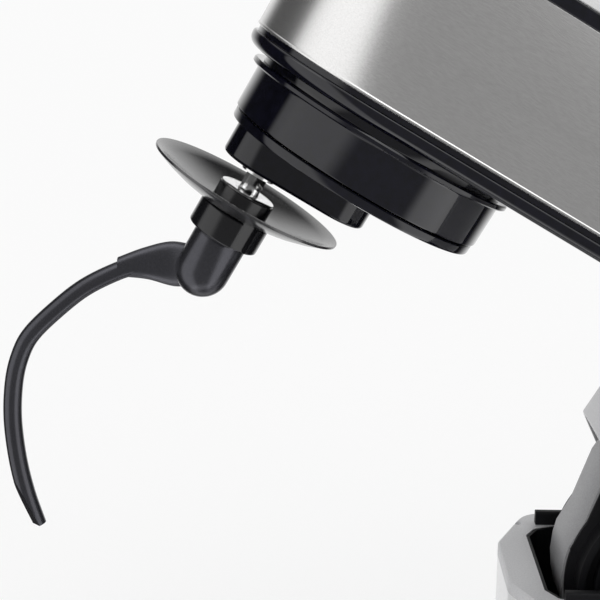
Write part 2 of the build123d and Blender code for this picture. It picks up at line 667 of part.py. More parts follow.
def tilt_arm():
    profile = [(153.0, -53.0), (157.6, -76.0), (158.2, -89.0)]
    for step in range(13):
        angle = math.radians(200 + step * 9.5)
        profile.append((PIVOT_X + ARM_SECTOR_R * math.cos(angle), PIVOT_V + ARM_SECTOR_R * math.sin(angle)))
    profile += [(226, -84), (228, -50), (232, ARM_DECK_BOTTOM + 1), (153.5, ARM_DECK_BOTTOM + 1)]
    arm = side_plate(profile, -ARM_HALF, ARM_HALF)
    for turn in (0, TILT):
        notch = cross_rod(PIVOT_X, PIVOT_V - ARM_SECTOR_R - 0.5, 5.6, -ARM_HALF - 1, ARM_HALF + 1)
        arm -= notch.rotate(Axis((PIVOT_X, 0, PIVOT_V), (0, -1, 0)), turn)
    arm += block(ARM_DECK_FRONT, ARM_DECK_BACK, -ARM_DECK_HALF, ARM_DECK_HALF, ARM_DECK_BOTTOM, ARM_DECK_TOP)
    for side in (-1, 1):
        y0, y1 = sorted((38 * side, ARM_DECK_HALF * side))
        arm += block(ARM_DECK_FRONT, ARM_DECK_BACK, y0, y1, ARM_DECK_TOP - 1, FRAME_BOTTOM)
        for x, y in ARM_SCREWS:
            arm += rod(x, y * side, 5, ARM_DECK_TOP - 1, FRAME_BOTTOM)
            arm -= rod(x, y * side, 2, FRAME_BOTTOM - 12, FRAME_BOTTOM + 1)
    arm -= rod(MOTOR_X, 0, STATOR_R + 1.5, ARM_DECK_TOP, FRAME_BOTTOM + 1)
    arm -= cross_rod(PIVOT_X, PIVOT_V, 7, -ARM_HALF - 1, ARM_HALF + 1)
    arm -= side_plate([(184, -30), (184, -48), (218, -48), (220, -30)], 4, ARM_HALF + 1)
    arm -= side_plate([(184, -30), (184, -48), (218, -48), (220, -30)], -ARM_HALF - 1, -4)
    return one(arm)


def hinge_bushes():
    bushes = []
    for side in (-1, 1):
        y0, y1 = sorted((2 * side, ARM_HALF * side))
        bushes.append(cross_rod(PIVOT_X, PIVOT_V, 7, y0, y1) - cross_rod(PIVOT_X, PIVOT_V, PIN_R + RUN, y0, y1))
    return group(bushes)


def head_screws():
    """Every screw into the head frame: the hub's, the arm's, the gear cover's and the trim's."""
    trim = STEEL_TOP + 3
    screws = [rod(x, y, 3.6, LIP_BOTTOM - 2, LIP_BOTTOM) + rod(x, y, 2, LIP_BOTTOM - 0.1, FRAME_TOP - 1)
              for x, y in hub_screw_spots()]
    for x, y in ARM_SCREWS:
        for side in (-1, 1):
            head = rod(x, y * side, 3.6, FRAME_TOP, FRAME_TOP + 2.6)
            screws.append(head + rod(x, y * side, 2, FRAME_BOTTOM - 11, FRAME_TOP + 0.1))
    for x, y in gear_cover_posts():
        head = rod(x, y, 3.2, GEAR_COVER_TOP - 1.5, GEAR_COVER_TOP + 0.5)
        screws.append(head + rod(x, y, 1.75, GEAR_COVER_TOP - 12, GEAR_COVER_TOP))
    for x, y in POSTS:
        screws.append(rod(x, y, 3.6, trim, trim + 2) + rod(x, y, 2, trim - 16, trim + 0.1))
    return group(screws)


def arm_side_covers():
    """Moulded cheeks with curved ribs about the hinge pin, one on each side of the arm."""
    centre = (PIVOT_X, PIVOT_V)
    plate = cheek(centre, 44.0, ARM_HALF, 21.0)
    for outer, depth in ((44.0, 25.4), (37.0, 25.4), (30.0, 25.4)):
        rib = cheek(centre, outer, 20.0, depth)
        plate += rib - cross_rod(*centre, outer - 3.0, 19.5, 27)
    plate += cross_rod(*centre, 9, 20, 25.4)
    skin = [(154.2, -53), (158.3, -76), (158.9, -89), (200, -89), (200, -53)]
    plate += side_plate(skin, ARM_HALF, ARM_HALF + 1.6) + cheek(centre, 48.0, ARM_HALF, ARM_HALF + 1.6)
    plate -= cross_rod(*centre, PIN_R + 0.4, ARM_HALF - 1, 27)
    return mirrored(one(plate))


def cheek(centre, radius, y0, y1):
    """The part of a disc about the hinge pin that the cheek covers, with its straight upper part."""
    disc = cross_rod(*centre, radius, y0, y1)
    x, z = centre
    keep = side_plate([(x - 60, z + 30), (x - 60, z - 60), (x + 30, z - 60), (x + 18, z + 30)], y0, y1)
    return disc & keep


def drive_belt():
    """A flat belt round both pulleys, drawn tight."""
    outer = belt_outline(BELT_T + 0.1)
    inner = belt_outline(0.1)
    return one(prism(outer, 51.5, 58.5) - prism(inner, 51, 59))


def belt_outline(gap):
    """The hull of both pulleys, a gap outside their rims."""
    large = Pos(DRIVE_X, 0) * Circle(BIG_PULLEY_R + gap)
    small = Pos(MOTOR_X, 0) * Circle(SMALL_PULLEY_R + gap)
    return make_hull(large.edges() + small.edges())


def driven_pulley():
    pulley = rod(DRIVE_X, 0, BIG_PULLEY_R, 51, 59)
    pulley -= tube(DRIVE_X, 0, BIG_PULLEY_R - 4, 12, 54.5, 60)
    for spoke in range(6):
        angle = math.radians(60 * spoke)
        pulley -= rod(DRIVE_X + 24 * math.cos(angle), 24 * math.sin(angle), 6.5, 50, 60)
    return one(pulley - rod(DRIVE_X, 0, DRIVE_SHAFT_R, 50, 60))


def drive_pinion_shaft():
    """The pinion turned on its shaft, its tooth space facing the main gear."""
    turn = 180 / DRIVE_TEETH
    pinion = Pos(DRIVE_X, 0, 0) * spur_gear(MAIN_MODULE, DRIVE_TEETH, turn, 35.5, 44.0)
    return one(pinion + rod(DRIVE_X, 0, DRIVE_SHAFT_R, 26.5, 61))


def main_gear():
    return one(spur_gear(MAIN_MODULE, MAIN_TEETH, 0, 36, 43) - rod(0, 0, SHAFT_R, 30, 50))


def main_shaft():
    return one(rod(0, 0, SHAFT_R, CARRIER_BOTTOM, GEAR_COVER_TOP))


def planet_carrier():
    disc = rod(0, 0, CARRIER_R, CARRIER_BOTTOM, -0.6)
    boss = prism(stadium(TOOL_X, BOSS_BACK, BOSS_R), BOSS_BOTTOM, CARRIER_BOTTOM + 1)
    boss = fillet(boss.faces().sort_by(Axis.Z)[0].edges(), 1.5)
    carrier = disc + boss
    carrier -= rod(0, 0, SHAFT_R, CARRIER_BOTTOM, 0)
    carrier -= rod(TOOL_X, 0, 9, BOSS_BOTTOM - 1, 0)
    return one(carrier)


def spindle_bushes():
    return group([tube(TOOL_X, 0, 9, 5 + RUN, BOSS_BOTTOM, -12), tube(TOOL_X, 0, 9, 5 + RUN, -8, -0.6)])


def planet_pinion():
    """The pinion that rolls round the ring gear; a tooth points at the ring's space."""
    gear = Pos(TOOL_X, 0, 0) * spur_gear(RING_MODULE, PLANET_TEETH, 0, 3, 12)
    return one(gear - rod(TOOL_X, 0, 5, 2, 13))


def tool_spindle():
    spindle = rod(TOOL_X, 0, 5, BOSS_BOTTOM - 0.4, 12.4) + rod(TOOL_X, 0, STUB_R, STUB_END, BOSS_BOTTOM)
    spindle = chamfer(spindle.faces().sort_by(Axis.Z)[0].edges(), 0.8)
    spindle -= Pos(TOOL_X, 0, 0) * cross_rod(0, -25.5, 1.3, -10, 10).rotate(Axis.Z, 38)
    return one(spindle - cross_rod(TOOL_X, -41, 1.5, -10, 10))


def spindle_pins():
    """The bayonet cross pin near the spindle's end, and the pin that keeps its upper half."""
    keeper = cross_rod(0, -25.5, 1.3, -5.8, 5.8).rotate(Axis.Z, 38)
    return group([cross_rod(TOOL_X, -41, 1.5, -8, 8), Pos(TOOL_X, 0, 0) * keeper])


def spindle_circlip():
    clip = tube(TOOL_X, 0, 7.5, STUB_R, BOSS_BOTTOM - 2.4, BOSS_BOTTOM - 1.2)
    return one(clip - block(TOOL_X + 3, TOOL_X + 9, -1.6, 1.6, BOSS_BOTTOM - 3, BOSS_BOTTOM))


# ---------------------------------------------------------------- the motor

def motor_stator():
    stator = tube(MOTOR_X, 0, STATOR_R, ROTOR_R + 0.8, STATOR_BOTTOM, STATOR_TOP)
    stator -= block(MOTOR_X - 40, MOTOR_X + 40, 29, 40, 0, 32) + block(MOTOR_X - 40, MOTOR_X + 40, -40, -29, 0, 32)
    for side in (-1, 1):
        y0, y1 = sorted((28 * side, 44 * side))
        stator += block(MOTOR_X - 8, MOTOR_X + 8, y0, y1, FRAME_TOP, STATOR_TOP)
    return one(stator)


def motor_brackets():
    """The two bars that hold the motor's bearings; the lower one also carries the brush boxes."""
    lower = motor_bracket(-6.0, -6.0, STATOR_BOTTOM)
    for side in (-1, 1):
        x0, x1 = sorted((MOTOR_X + 12 * side, MOTOR_X + 26 * side))
        lower += block(min(x0, MOTOR_X + 8 * side), max(x1, MOTOR_X + 8 * side), -4, 4, -6, -2)
        lower += block(x0, x1, -4, 4, -3, 1)
    return group([lower, motor_bracket(45.0, STATOR_TOP, 49.0)])


def motor_bracket(bottom, legs_from, legs_to):
    """A bar across the motor that holds one of its bearings, on two legs against the stator."""
    bracket = block(MOTOR_X - 9, MOTOR_X + 9, -28, 28, bottom, bottom + 4)
    for side in (-1, 1):
        y0, y1 = sorted((22 * side, 28 * side))
        bracket += block(MOTOR_X - 9, MOTOR_X + 9, y0, y1, min(bottom, legs_from), legs_to)
    return one(bracket - rod(MOTOR_X, 0, 7, bottom - 1, bottom + 5))


def motor_shaft():
    return one(rod(MOTOR_X, 0, MOTOR_SHAFT_R, -6.5, 61))


def rotor_core():
    core = rod(MOTOR_X, 0, ROTOR_R, 11, 35) - rod(MOTOR_X, 0, MOTOR_SHAFT_R, 10, 36)
    for slot in range(12):
        angle = math.radians(30 * slot)
        core -= rod(MOTOR_X + 15.5 * math.cos(angle), 15.5 * math.sin(angle), 1.6, 10, 36)
    return one(core)


def commutator():
    return one(tube(MOTOR_X, 0, 9, MOTOR_SHAFT_R, -0.5, 9))


def cooling_fan():
    fan = tube(MOTOR_X, 0, 19, MOTOR_SHAFT_R, 37.5, 39)
    fan += tube(MOTOR_X, 0, 6, MOTOR_SHAFT_R, 37.5, 43)
    for blade in range(10):
        fan += block(5, 19, -0.6, 0.6, 38.5, 43.5).rotate(Axis.Z, 36 * blade).moved(Pos(MOTOR_X, 0, 0))
    return one(fan)


def motor_pulley():
    pulley = rod(MOTOR_X, 0, SMALL_PULLEY_R, 51, 59.5) - rod(MOTOR_X, 0, MOTOR_SHAFT_R, 50, 60)
    return one(pulley + tube(MOTOR_X, 0, 11, SMALL_PULLEY_R - 1, 59, 60.5))


def brush_holders():
    """Two carbon brushes in their boxes, pressed to the commutator."""
    holders = []
    for side in (-1, 1):
        x0, x1 = sorted((MOTOR_X + 9.2 * side, MOTOR_X + 26 * side))
        holders.append(block(x0, x1, -4, 4, 1, 7))
    return group(holders)


# ---------------------------------------------------------------- the hook and what turns with it

def upper_collar():
    collar = rod(TOOL_X, 0, UPPER_COLLAR_R, -38.0, COLLAR_TOP)
    collar = fillet(collar.faces().sort_by(Axis.Z)[-1].edges(), 0.4)
    collar += rod(TOOL_X, 0, UPPER_COLLAR_R + 0.7, -38.0, -37.0)
    return one(collar - rod(TOOL_X, 0, STUB_R + RUN, -39, COLLAR_TOP + 1))


def collar_washer():
    return one(tube(TOOL_X, 0, UPPER_COLLAR_R - 0.4, STUB_R + RUN, COLLAR_TOP, COLLAR_TOP + 0.8))


def splash_disc():
    """A thin shallow dish, hollow side up."""
    profile = [(0, -39.2), (13, -39.2), (30, -35.4), (DISC_R, DISC_RIM - 1.4), (DISC_R, DISC_RIM)]
    profile += [(30, -34.0), (13, -38.0), (0, -38.0)]
    face = make_face(Polyline(*[(TOOL_X + r, 0, z) for r, z in profile], close=True))
    disc = revolve(face, Axis((TOOL_X, 0, 0), (0, 0, 1)))
    return one(disc - rod(TOOL_X, 0, 8.6, -45, -30))


def lower_collar():
    collar = rod(TOOL_X, 0, LOWER_COLLAR_R, LOWER_COLLAR_BOTTOM, -39.2)
    collar = fillet(collar.edges(), 1.0)
    flute = block(-3.7, 3.7, -LOWER_COLLAR_R - 1, -LOWER_COLLAR_R + 2.6, -60, -30).rotate(Axis.Z, 33)
    collar -= Pos(TOOL_X, 0, 0) * flute
    collar -= rod(TOOL_X, 0, STUB_R + RUN, -47, -30)
    return one(collar - rod(TOOL_X, 0, 8.6, -43, -30))


def dough_hook():
    """A boss with a flat wing that narrows into a bent round bar, cut off aslant at its tip."""
    boss = rod(TOOL_X, 0, HOOK_BOSS_R, HOOK_BOSS_END + HOOK_BOSS_R, LOWER_COLLAR_BOTTOM)
    boss += Pos(TOOL_X, 0, HOOK_BOSS_END + HOOK_BOSS_R) * Sphere(HOOK_BOSS_R)
    wing = loft([Pos(x, y, z) * Rot(0, -125, 0) * Ellipse(wide, thick) for x, y, z, wide, thick in WING_SECTIONS])
    path = FilletPolyline(*HOOK_PATH, radius=HOOK_RADII)
    start = path.position_at(0)
    bar = sweep(Plane(origin=start, z_dir=path.tangent_at(0)) * Circle(HOOK_BAR_R), path=path)
    bar -= Plane(origin=HOOK_CUT_AT, z_dir=HOOK_CUT_FACES) * low(Box, 60, 60, 40)
    return one(boss + wing + bar)


STAND = {
    "base_shell": base_shell, "bottom_cover": bottom_cover, "stand_screws": stand_screws,
    "rubber_feet": rubber_feet, "bowl_seat": bowl_seat,
    "column_shell": column_shell, "top_ring": top_ring, "column_liner": column_liner,
    "hinge_frame": hinge_frame, "hinge_pin": hinge_pin,
    "hinge_clips": hinge_clips, "latch_shaft": latch_shaft, "latch_pawl": latch_pawl,
    "pawl_spring": pawl_spring, "release_lever": release_lever, "lever_bush": lever_bush,
    "knob_bezel": knob_bezel, "rotary_switch": rotary_switch, "speed_knob": speed_knob,
    "control_board": control_board, "cord_inlet": cord_inlet,
}

HEAD = {
    "lower_tray": lower_tray, "steel_shell": steel_shell, "top_trim": top_trim, "top_cover": top_cover,
    "neck_cover": neck_cover, "hub_housing": hub_housing, "ring_gear": ring_gear,
    "head_frame": head_frame, "gear_cover": gear_cover, "head_screws": head_screws,
    "main_bearings": main_bearings, "drive_bearings": drive_bearings, "tilt_arm": tilt_arm,
    "hinge_bushes": hinge_bushes, "arm_side_covers": arm_side_covers, "drive_belt": drive_belt,
    "driven_pulley": driven_pulley, "drive_pinion_shaft": drive_pinion_shaft, "main_gear": main_gear,
    "main_shaft": main_shaft, "planet_carrier": planet_carrier, "spindle_bushes": spindle_bushes,
    "planet_pinion": planet_pinion, "tool_spindle": tool_spindle, "spindle_pins": spindle_pins,
    "spindle_circlip": spindle_circlip, "motor_stator": motor_stator,
    "motor_brackets": motor_brackets, "motor_shaft": motor_shaft, "rotor_core": rotor_core,
    "commutator": commutator, "cooling_fan": cooling_fan, "motor_pulley": motor_pulley,
    "brush_holders": brush_holders, "upper_collar": upper_collar, "collar_washer": collar_washer,
    "splash_disc": splash_disc, "lower_collar": lower_collar, "dough_hook": dough_hook,
}


def build():
    """Every node in its place, with the origin under the middle of the mixer's box."""
    nodes = {name: make() for name, make in STAND.items()}
    nodes.update({name: raised(make()) for name, make in HEAD.items()})
    whole = Compound([solid for shape in nodes.values() for solid in shape.solids()])
    box = whole.bounding_box()
    shift = Pos(-(box.min.X + box.max.X) / 2, 0, 0)
    return {name: shift * shape for name, shape in nodes.items()}, shift


def write():
    os.makedirs("parts", exist_ok=True)
    nodes, _ = build()
    for name, shape in nodes.items():
        export_step(shape, f"parts/{name}.step")


if __name__ == "__main__":
    write()
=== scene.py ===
"""Looks of a tilt-head stand mixer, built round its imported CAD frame.

Sizes are in millimetres in two frames. The head frame starts where the planet axis meets the hub's lower
edge, with x to the back and z up along the planet axis. The stand frame starts under the bowl's axis.
"""
from __future__ import annotations

import json
import logging
import math
from dataclasses import dataclass
from enum import Enum
from typing import Callable, Sequence

import bmesh
import bpy
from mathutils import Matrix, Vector

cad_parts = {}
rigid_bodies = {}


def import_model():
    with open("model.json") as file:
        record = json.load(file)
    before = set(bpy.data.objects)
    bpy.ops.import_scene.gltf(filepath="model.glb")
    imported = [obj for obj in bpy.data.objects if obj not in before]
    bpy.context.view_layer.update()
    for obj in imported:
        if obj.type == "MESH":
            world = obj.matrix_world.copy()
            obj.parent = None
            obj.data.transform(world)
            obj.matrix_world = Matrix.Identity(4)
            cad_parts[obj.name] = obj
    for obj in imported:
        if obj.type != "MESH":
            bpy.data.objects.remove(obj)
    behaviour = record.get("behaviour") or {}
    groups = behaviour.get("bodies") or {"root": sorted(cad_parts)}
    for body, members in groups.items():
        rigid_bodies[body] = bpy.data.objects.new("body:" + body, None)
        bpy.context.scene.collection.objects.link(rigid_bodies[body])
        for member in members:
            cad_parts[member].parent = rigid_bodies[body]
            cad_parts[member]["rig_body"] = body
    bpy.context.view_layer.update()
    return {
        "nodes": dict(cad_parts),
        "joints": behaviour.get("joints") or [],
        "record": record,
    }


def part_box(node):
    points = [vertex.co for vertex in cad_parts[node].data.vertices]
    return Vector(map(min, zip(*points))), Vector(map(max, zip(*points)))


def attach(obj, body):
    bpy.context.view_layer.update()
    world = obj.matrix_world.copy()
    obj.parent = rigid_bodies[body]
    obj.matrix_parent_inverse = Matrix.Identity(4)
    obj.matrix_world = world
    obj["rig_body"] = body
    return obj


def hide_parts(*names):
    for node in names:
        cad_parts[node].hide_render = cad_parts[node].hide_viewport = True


log = logging.getLogger("mixer")
MM = 0.001
TILT = math.radians(30.5)
HEAD_BACK, HEAD_UP = 68.091, 349.76
PLATE_EDGE_STEPS = 3
Point2 = tuple[float, float]
Colour = tuple[float, float, float]
Ring = list[Vector]


# ------------------------------------------------------------------ frames and outlines


class Axes:
    """A maker's frame: an origin in metres and three unit axes, addressed in millimetres."""

    def __init__(self, origin: Vector, z_axis: Vector) -> None:
        """Args:
            origin: the frame's zero point, in metres.
            z_axis: its upward direction, in the mixer's middle plane.
        """
        self.origin = origin
        self.z = z_axis.normalized()
        self.y = Vector((0.0, 1.0, 0.0))
        self.x = self.y.cross(self.z)

    def at(self, x: float, y: float, z: float) -> Vector:
        """Returns the point at x, y, z millimetres."""
        return self.origin + (self.x * x + self.y * y + self.z * z) * MM

    def moved(self, x: float, y: float, z: float) -> Axes:
        """Returns the same axes with their origin moved by x, y, z millimetres."""
        return Axes(self.at(x, y, z), self.z)


def arc(centre: Point2, radius: float, start: float, end: float, steps: int) -> list[Point2]:
    """Sets points along an arc.

    Args:
        centre: the arc's centre.
        radius: its radius.
        start: its first angle in degrees.
        end: its last angle in degrees.
        steps: pieces in the arc.

    Returns:
        The points, both ends included.
    """
    points = []
    for step in range(steps + 1):
        angle = math.radians(start + (end - start) * step / steps)
        points.append((centre[0] + radius * math.cos(angle), centre[1] + radius * math.sin(angle)))
    return points


def rounded(points: Sequence[Point2], size: float, steps: int) -> list[Point2]:
    """Rounds every corner of a flat polygon.

    Args:
        points: its corners.
        size: the corners' radius.
        steps: pieces in each corner's arc.

    Returns:
        The outline's points.
    """
    outline = []
    for index, corner in enumerate(points):
        here = Vector(corner)
        before = Vector(points[index - 1]) - here
        after = Vector(points[(index + 1) % len(points)]) - here
        half = before.angle(after) / 2
        reach = min(size / math.tan(half), 0.49 * before.length, 0.49 * after.length)
        radius = reach * math.tan(half)
        start = here + before.normalized() * reach
        end = here + after.normalized() * reach
        centre = here + (before.normalized() + after.normalized()).normalized() * radius / math.sin(half)
        for step in range(steps + 1):
            spoke = (start - centre).lerp(end - centre, step / steps)
            outline.append(tuple(centre + spoke.normalized() * radius))
    return outline


def stadium(x0: float, x1: float, radius: float) -> list[Point2]:
    """Returns a slot outline between two centres on the x axis."""
    return arc((x1, 0), radius, -90, 90, 24) + arc((x0, 0), radius, 90, 270, 24)


# ------------------------------------------------------------------ meshes


class Shape:
    """A mesh being built, which takes any number of lofts, plates and lathed parts."""

    def __init__(self) -> None:
        """Starts an empty mesh."""
        self.mesh = bmesh.new()

    def loft(self, rings: Sequence[Ring], closed: bool = False, capped: bool = True) -> Shape:
        """Skins rings of equal length.

        Args:
            rings: the loops, in order.
            closed: joins the last ring to the first, as round a thick wall.
            capped: fills the first and last ring when they aren't joined.

        Returns:
            This shape.
        """
        part = bmesh.new()
        loops = [[part.verts.new(point) for point in ring] for ring in rings]
        count = len(loops[0])
        pairs = list(zip(loops, loops[1:])) + ([(loops[-1], loops[0])] if closed else [])
        for low, high in pairs:
            for i in range(count):
                j = (i + 1) % count
                part.faces.new((low[i], low[j], high[j], high[i]))
        if capped and not closed:
            part.faces.new(loops[0][::-1])
            part.faces.new(loops[-1])
        return self.add(part)

    def lathe(self, axes: Axes, profile: Sequence[Point2], closed: bool = True, segments: int = 96) -> Shape:
        """Turns a profile of (radius, height) about the frame's z axis.

        Args:
            axes: the frame.
            profile: its points; ends at radius 0 close on the axis.
            closed: joins the last point to the first.
            segments: steps in the turn.

        Returns:
            This shape.
        """
        rings = []
        for radius, height in profile:
            ring = []
            for step in range(segments):
                angle = 2 * math.pi * step / segments
                ring.append(axes.at(radius * math.cos(angle), radius * math.sin(angle), height))
            rings.append(ring)
        return self.loft(rings, closed=closed, capped=False)

    def wall(self, axes: Axes, outline: Callable[[float], list[Point2]], profile: Sequence[Point2],
             closed: bool = True) -> Shape:
        """Carries a profile of (inset, height) round a plan outline.

        Args:
            axes: the frame whose x and y hold the plan.
            outline: gives the plan at an inset.
            profile: its points; an open one is capped at both ends.
            closed: joins the last point to the first.

        Returns:
            This shape.
        """
        rings = [[axes.at(x, y, height) for x, y in outline(inset)] for inset, height in profile]
        return self.loft(rings, closed=closed, capped=not closed)

    def plate(self, place: Callable[[float, float, float], Vector], outlines: Sequence[Sequence[Point2]],
              low: float, high: float, edge: float = 0.0) -> Shape:
        """Raises a flat outline with holes between two heights, with rounded edges.

        Args:
            place: maps outline x, outline y and height to a point.
            outlines: the outside and then its holes.
            low: lower height.
            high: upper height.
            edge: radius of the edges.

        Returns:
            This shape.
        """
        curve = bpy.data.curves.new("outline", "CURVE")
        curve.dimensions = "2D"
        curve.fill_mode = "BOTH"
        curve.extrude = (high - low) / 2 - edge
        curve.bevel_depth = edge
        curve.bevel_resolution = PLATE_EDGE_STEPS - 1
        curve.offset = -edge
        for outline in outlines:
            spline = curve.splines.new("POLY")
            spline.points.add(len(outline) - 1)
            for point, (x, y) in zip(spline.points, outline):
                point.co = (x, y, 0, 1)
            spline.use_cyclic_u = True
        holder = bpy.data.objects.new("outline", curve)
        bpy.context.scene.collection.objects.link(holder)
        bpy.context.view_layer.update()
        flat = bpy.data.meshes.new_from_object(holder.evaluated_get(bpy.context.evaluated_depsgraph_get()))
        part = bmesh.new()
        part.from_mesh(flat)
        bpy.data.objects.remove(holder)
        bpy.data.curves.remove(curve)
        bpy.data.meshes.remove(flat)
        middle = (low + high) / 2
        for vertex in part.verts:
            vertex.co = place(vertex.co.x, vertex.co.y, vertex.co.z + middle)
        return self.add(part)

    def add(self, part: bmesh.types.BMesh) -> Shape:
        """Closes a part's seams, turns its faces outwards and joins it to this shape.

        Args:
            part: the part, which is used up.

        Returns:
            This shape.
        """
        bmesh.ops.remove_doubles(part, verts=part.verts, dist=2e-6)
        bmesh.ops.dissolve_degenerate(part, edges=part.edges, dist=1e-7)
        bmesh.ops.recalc_face_normals(part, faces=part.faces)
        if part.faces and part.calc_volume(signed=True) < 0:
            bmesh.ops.reverse_faces(part, faces=part.faces)
        held = bpy.data.meshes.new("part")
        part.to_mesh(held)
        part.free()
        self.mesh.from_mesh(held)
        bpy.data.meshes.remove(held)
        return self

    def piece(self, name: str, body: str, finish: str, replaces: Sequence[str],
              sharp: float = 35.0) -> bpy.types.Object:
        """Makes the finished object.

        Args:
            name: the piece's name.
            body: the CAD body it moves with.
            finish: the record's material slot.
            replaces: CAD nodes it stands for.
            sharp: faces that meet at more than this angle, in degrees, keep a crisp edge.

        Returns:
            The object.
        """
        mesh = bpy.data.meshes.new(name)
        self.mesh.to_mesh(mesh)
        self.mesh.free()
        return dress(mesh, name, body, finish, replaces, sharp)


def swept(axes: Axes, path: Sequence[Sequence[float]], radius: float) -> list[Ring]:
    """Gives the rings of a round bar along a path.

    Args:
        axes: the path's frame.
        path: its points in millimetres.
        radius: the bar's radius in millimetres.

    Returns:
        The rings, ready to loft.
    """
    spacing = 1.2
    segments = 28
    corners = [axes.at(*point) for point in path]
    stations = [corners[0]]
    for low, high in zip(corners, corners[1:]):
        parts = max(1, round((high - low).length / (spacing * MM)))
        stations += [low.lerp(high, (part + 1) / parts) for part in range(parts)]
    side = axes.y.copy()
    rings = []
    for index, centre in enumerate(stations):
        ahead = (stations[min(index + 1, len(stations) - 1)] - stations[max(index - 1, 0)]).normalized()
        side = (side - ahead * side.dot(ahead)).normalized()
        other = ahead.cross(side)
        angles = [2 * math.pi * step / segments for step in range(segments)]
        rings.append([centre + (side * math.cos(a) + other * math.sin(a)) * radius * MM for a in angles])
    return rings


def eased(node: str, body: str, finish: str, width: float) -> bpy.types.Object:
    """Copies a CAD node with its sharp edges eased by a narrow round.

    Args:
        node: the CAD node.
        body: the CAD body it moves with.
        finish: the record's material slot.
        width: the round's width in millimetres.

    Returns:
        The piece, which stands for the node.
    """
    part = bmesh.new()
    part.from_mesh(bpy.data.objects[node].data)
    bmesh.ops.remove_doubles(part, verts=part.verts, dist=5e-6)
    bmesh.ops.dissolve_limit(part, angle_limit=math.radians(0.6), verts=part.verts, edges=part.edges)
    limit = math.radians(30.0)
    edges = [edge for edge in part.edges if len(edge.link_faces) == 2 and edge.calc_face_angle(0.0) > limit]
    bmesh.ops.bevel(part, geom=edges, offset=width * MM, offset_type="OFFSET", segments=2, profile=0.6,
                    affect="EDGES", clamp_overlap=True)
    bmesh.ops.triangulate(part, faces=[face for face in part.faces if len(face.verts) > 4])
    mesh = bpy.data.meshes.new(node + "_eased")
    part.to_mesh(mesh)
    part.free()
    return dress(mesh, node + "_eased", body, finish, [node], sharp=28.0, look=LOOKS.get(node, ""))


def dress(mesh: bpy.types.Mesh, name: str, body: str, finish: str, replaces: Sequence[str],
          sharp: float = 35.0, look: str = "") -> bpy.types.Object:
    """Turns a mesh into a piece that rides on its body.

    Args:
        mesh: the finished mesh, in metres.
        name: the piece's name.
        body: the CAD body it moves with.
        finish: the record's material slot.
        replaces: CAD nodes it stands for.
        sharp: the angle in degrees past which an edge stays crisp.
        look: the finish to show, where it differs from the slot's.

    Returns:
        The object.
    """
    for polygon in mesh.polygons:
        polygon.use_smooth = True
    mesh.set_sharp_from_angle(angle=math.radians(sharp))
    mesh.materials.clear()
    mesh.materials.append(Finishes.of(look or finish))
    piece = bpy.data.objects.new(name, mesh)
    bpy.context.scene.collection.objects.link(piece)
    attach(piece, body)
    if replaces:
        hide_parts(*replaces)
    log.info("%s on %s: %d faces", name, body, len(mesh.polygons))
    return piece


# ------------------------------------------------------------------ shader expressions


class Signal:
    """A node's output socket that can be used in sums."""

    def __init__(self, graph: Graph, socket: bpy.types.NodeSocket) -> None:
        """Wraps one socket of a graph."""
        self.graph = graph
        self.socket = socket

    def _math(self, operation: str, *others: Signal | float) -> Signal:
        """Returns a Math node's result on this signal and others."""
        return self.graph.node("ShaderNodeMath", {"operation": operation}, dict(enumerate((self, *others))))

    def __add__(self, other: Signal | float) -> Signal:
        """Returns the sum."""
        return self._math("ADD", other)

    __radd__ = __add__

    def __mul__(self, other: Signal | float) -> Signal:
        """Returns the product."""
        return self._math("MULTIPLY", other)

    __rmul__ = __mul__

    def __sub__(self, other: Signal | float) -> Signal:
        """Returns the difference."""
        return self._math("SUBTRACT", other)

    def __rsub__(self, other: float) -> Signal:
        """Returns a number less this signal."""
        return self.graph.node("ShaderNodeMath", {"operation": "SUBTRACT"}, {0: other, 1: self})

    def step(self, low: float, high: float) -> Signal:
        """Returns 0 below low, 1 above high and a smooth rise between."""
        return self.graph.node("ShaderNodeMapRange", {"interpolation_type": "SMOOTHSTEP"},
                               {"Value": self, "From Min": low, "From Max": high}, "Result")


